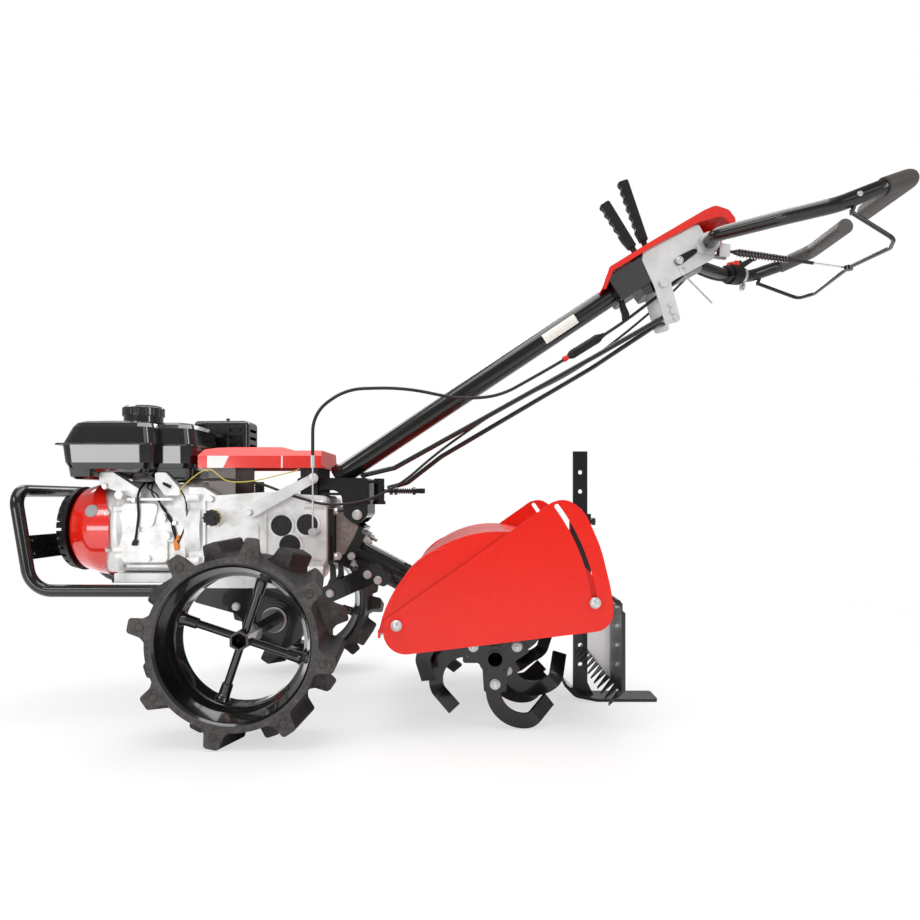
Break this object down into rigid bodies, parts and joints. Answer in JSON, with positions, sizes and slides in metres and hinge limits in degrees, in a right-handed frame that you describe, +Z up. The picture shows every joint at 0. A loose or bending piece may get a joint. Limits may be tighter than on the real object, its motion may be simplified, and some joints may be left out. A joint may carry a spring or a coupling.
{
  "type": "walk-behind rotary tiller",
  "caption": "Walk-behind rotary tiller: petrol engine and gearbox on two lugged wheels, hooded tine rotor behind, long steering column with console and handlebars.",
  "frame": {"origin": "on the ground under the middle of the machine", "axes": "+X towards the handlebar grips (rear), +Y to the operator's right, +Z up"},
  "size_m": [1.7105, 0.69, 1.0925],
  "materials": {
    "red_paint": "gloss paint",
    "red_plastic": "moulded, satin gloss",
    "black_paint": "semi-gloss paint",
    "tank_paint": "gloss black paint over pressed steel",
    "rim_paint": "gloss paint",
    "tyre_rubber": "matt rubber",
    "black_rubber": "matt",
    "black_plastic": "satin",
    "cast_aluminium": "as cast",
    "zinc_steel": "zinc plated"
  },
  "bodies": {
    "chassis": {"air_cleaner": "black_plastic", "axle_case": "black_paint", "board_hinge": "black_paint", "boom_links": "black_paint", "bumper_plate": "black_paint", "clutch_arm": "zinc_steel", "clutch_cable": "black_rubber", "column_bracket": "black_paint", "column_clamp": "black_paint", "console": "zinc_steel", "console_cover": "red_plastic", "cover_brackets": "zinc_steel", "crankcase": "cast_aluminium", "cylinder_head": "cast_aluminium", "engine_mount": "black_paint", "fan_shroud": "red_paint", "front_bumper": "black_paint", "fuel_cap": "black_plastic", "fuel_tank": "tank_paint", "gear_levers": "black_plastic", "gearbox": "cast_aluminium", "gearbox_plugs": "black_plastic", "hitch_plate": "black_paint", "hood": "red_paint", "muffler": "black_paint", "recoil_grille": "black_plastic", "shift_rods": "black_paint", "stake_bracket": "black_paint", "steering_column": "black_paint", "throttle_cable": "black_rubber", "tine_boom": "black_paint", "tine_gearcase": "black_paint", "top_cover": "red_paint"},
    "wheels": {"axle_shaft": "zinc_steel", "left_wheel_rim": "rim_paint", "right_wheel_rim": "rim_paint", "left_tyre": "tyre_rubber", "right_tyre": "tyre_rubber"},
    "tine_rotor": {"tine_shaft": "black_paint", "left_tines": "black_paint", "right_tines": "black_paint"},
    "left_guard": {"left_side_plate": "red_paint"},
    "right_guard": {"right_side_plate": "red_paint"},
    "rear_flap": {"rear_board": "black_paint"},
    "skid": {"depth_skid": "black_paint"},
    "handlebars": {"handlebar": "black_paint", "left_grip": "black_rubber", "right_grip": "black_rubber", "clutch_bail": "black_paint", "throttle_control": "black_plastic", "bail_cable": "black_rubber", "bar_throttle_cable": "black_rubber"}
  },
  "joints": [
    {"name": "wheel_roll", "type": "hinge", "parent": "chassis", "child": "wheels", "pos_m": [-0.37, 0, 0.17464], "axis": [0, 1, 0], "continuous": true},
    {"name": "rotor_spin", "type": "hinge", "parent": "chassis", "child": "tine_rotor", "pos_m": [0.0685, 0, 0.13], "axis": [0, 1, 0], "continuous": true},
    {"name": "left_guard_drop", "type": "hinge", "parent": "chassis", "child": "left_guard", "pos_m": [-0.106, -0.254, 0.194], "axis": [0, 1, 0], "range_deg": [0, 30]},
    {"name": "right_guard_drop", "type": "hinge", "parent": "chassis", "child": "right_guard", "pos_m": [-0.106, 0.254, 0.194], "axis": [0, 1, 0], "range_deg": [0, 30]},
    {"name": "rear_board_swing", "type": "hinge", "parent": "chassis", "child": "rear_flap", "pos_m": [0.287, 0, 0.232], "axis": [0, -1, 0], "range_deg": [0, 70]},
    {"name": "depth_set", "type": "slide", "parent": "chassis", "child": "skid", "axis": [0, 0, 1], "range_m": [-0.0805, 0]},
    {"name": "handlebar_tilt", "type": "hinge", "parent": "chassis", "child": "handlebars", "pos_m": [0.512, 0, 0.941], "axis": [0, -1, 0], "range_deg": [-12, 12]}
  ]
}
